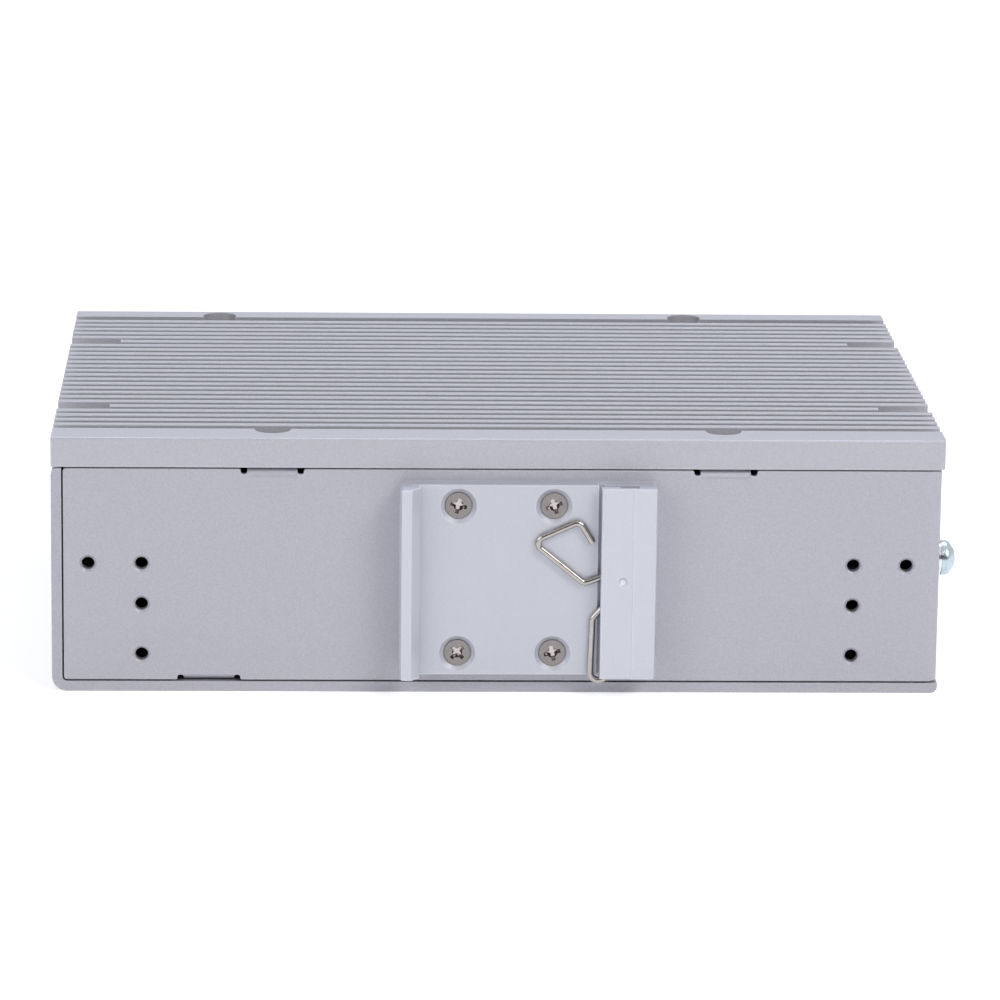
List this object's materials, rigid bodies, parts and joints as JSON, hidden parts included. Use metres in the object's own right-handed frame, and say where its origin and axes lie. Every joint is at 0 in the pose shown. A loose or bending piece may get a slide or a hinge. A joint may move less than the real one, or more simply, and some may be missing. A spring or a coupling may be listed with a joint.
{
  "type": "din rail ethernet switch",
  "caption": "Flat box-shaped network switch with a finned top cover and a hooked rail clip with a wire spring on its rear face.",
  "frame": {"origin": "middle of the base cover's underside", "axes": "+X up the housing as it hangs on a rail, -Y towards the rail, +Y out of the port side, +Z out of the finned cover"},
  "size_m": [0.1527, 0.1232, 0.0438],
  "materials": {
    "anodised_cover": "bead blasted and clear anodised extrusion",
    "painted_base": "fine textured silver finish",
    "bead_blasted_sheet": "fine grained silver finish",
    "anodised_clip": "satin clear anodised extrusion",
    "spring_steel": "polished spring wire",
    "nickel_screw": "nickel plated steel",
    "zinc_screw": "blue zinc plated steel",
    "zinc_washer": "bright zinc plated spring steel",
    "circuit_board": "green solder mask over glass laminate",
    "brass_standoff": "plain turned brass",
    "tinned_shell": "tinned folded strip",
    "socket_plastic": "black moulded plastic",
    "gold_contact": "gold plated spring contacts",
    "green_terminal": "green moulded plastic",
    "tinned_pin": "tinned pins",
    "clear_pipe": "clear moulded plastic",
    "led_body": "small moulded indicator",
    "chip_epoxy": "black moulded package",
    "thermal_pad": "soft grey pad",
    "heat_block": "plain milled block",
    "capacitor_can": "black sleeved can",
    "ferrite": "dark grey core",
    "crystal_can": "drawn can",
    "fuse_body": "pale ceramic body"
  },
  "bodies": {
    "root": {"base_cover": "painted_base", "base_screws": "nickel_screw", "board_screws": "nickel_screw", "board_standoffs": "brass_standoff", "clip_screws": "nickel_screw", "clip_spring": "spring_steel", "clock_crystal": "crystal_can", "din_clip_plate": "anodised_clip", "earth_lock_washer": "zinc_washer", "earth_screw": "zinc_screw", "electrolytic_capacitors": "capacitor_can", "front_panel": "bead_blasted_sheet", "heat_block": "heat_block", "heatsink_cover": "anodised_cover", "heatsink_screws": "nickel_screw", "input_fuse": "fuse_body", "left_wall_screws": "nickel_screw", "line_transformers": "chip_epoxy", "main_board": "circuit_board", "phy_chips": "chip_epoxy", "port_light_pipes": "clear_pipe", "power_header": "green_terminal", "power_inductors": "ferrite", "power_light_pipes": "clear_pipe", "power_pins": "tinned_pin", "power_transformer": "chip_epoxy", "rear_chassis": "bead_blasted_sheet", "right_wall_screws": "nickel_screw", "rj45_contacts_1": "gold_contact", "rj45_contacts_2": "gold_contact", "rj45_contacts_3": "gold_contact", "rj45_contacts_4": "gold_contact", "rj45_housing_1": "socket_plastic", "rj45_housing_2": "socket_plastic", "rj45_housing_3": "socket_plastic", "rj45_housing_4": "socket_plastic", "rj45_shield_1": "tinned_shell", "rj45_shield_2": "tinned_shell", "rj45_shield_3": "tinned_shell", "rj45_shield_4": "tinned_shell", "sfp_cage_1": "tinned_shell", "sfp_cage_2": "tinned_shell", "sfp_light_pipes": "clear_pipe", "sfp_socket_1": "socket_plastic", "sfp_socket_2": "socket_plastic", "status_leds": "led_body", "switch_chip": "chip_epoxy", "terminal_plug": "green_terminal", "terminal_screws": "nickel_screw", "thermal_pad": "thermal_pad"}
  },
  "joints": []
}
